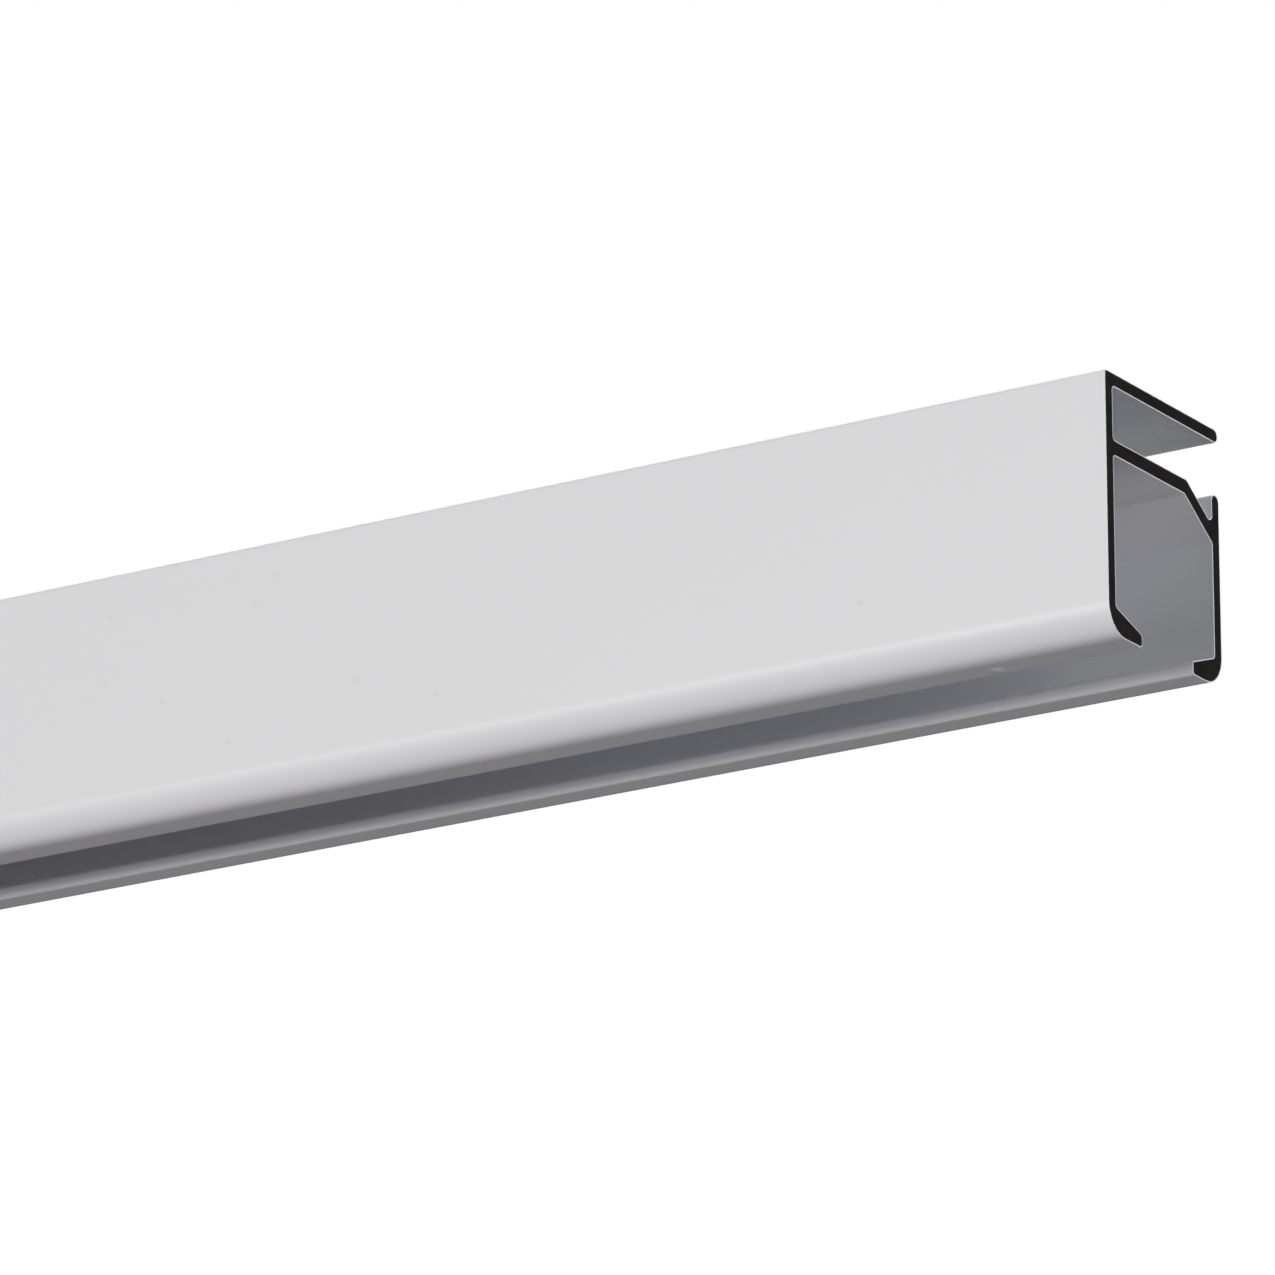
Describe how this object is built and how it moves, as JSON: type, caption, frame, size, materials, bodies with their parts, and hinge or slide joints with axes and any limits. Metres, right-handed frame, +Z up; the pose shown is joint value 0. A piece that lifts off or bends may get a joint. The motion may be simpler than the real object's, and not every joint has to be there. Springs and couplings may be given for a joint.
{
  "type": "curtain track",
  "caption": "Straight white aluminium curtain track: a runner channel open below between two lips, and a bracket slot along the back under the top wall.",
  "frame": {"origin": "middle of the length and of the depth, level with the undersides of the two bottom lips", "axes": "+X along the length, +Y from the plain front face to the back with the bracket slot, +Z up to the top face"},
  "size_m": [0.6, 0.0166, 0.02],
  "materials": {
    "white_paint": "smooth satin white paint on an aluminium extrusion, sawn bare at both ends"
  },
  "bodies": {
    "root": {"track_profile": "white_paint"}
  },
  "joints": []
}
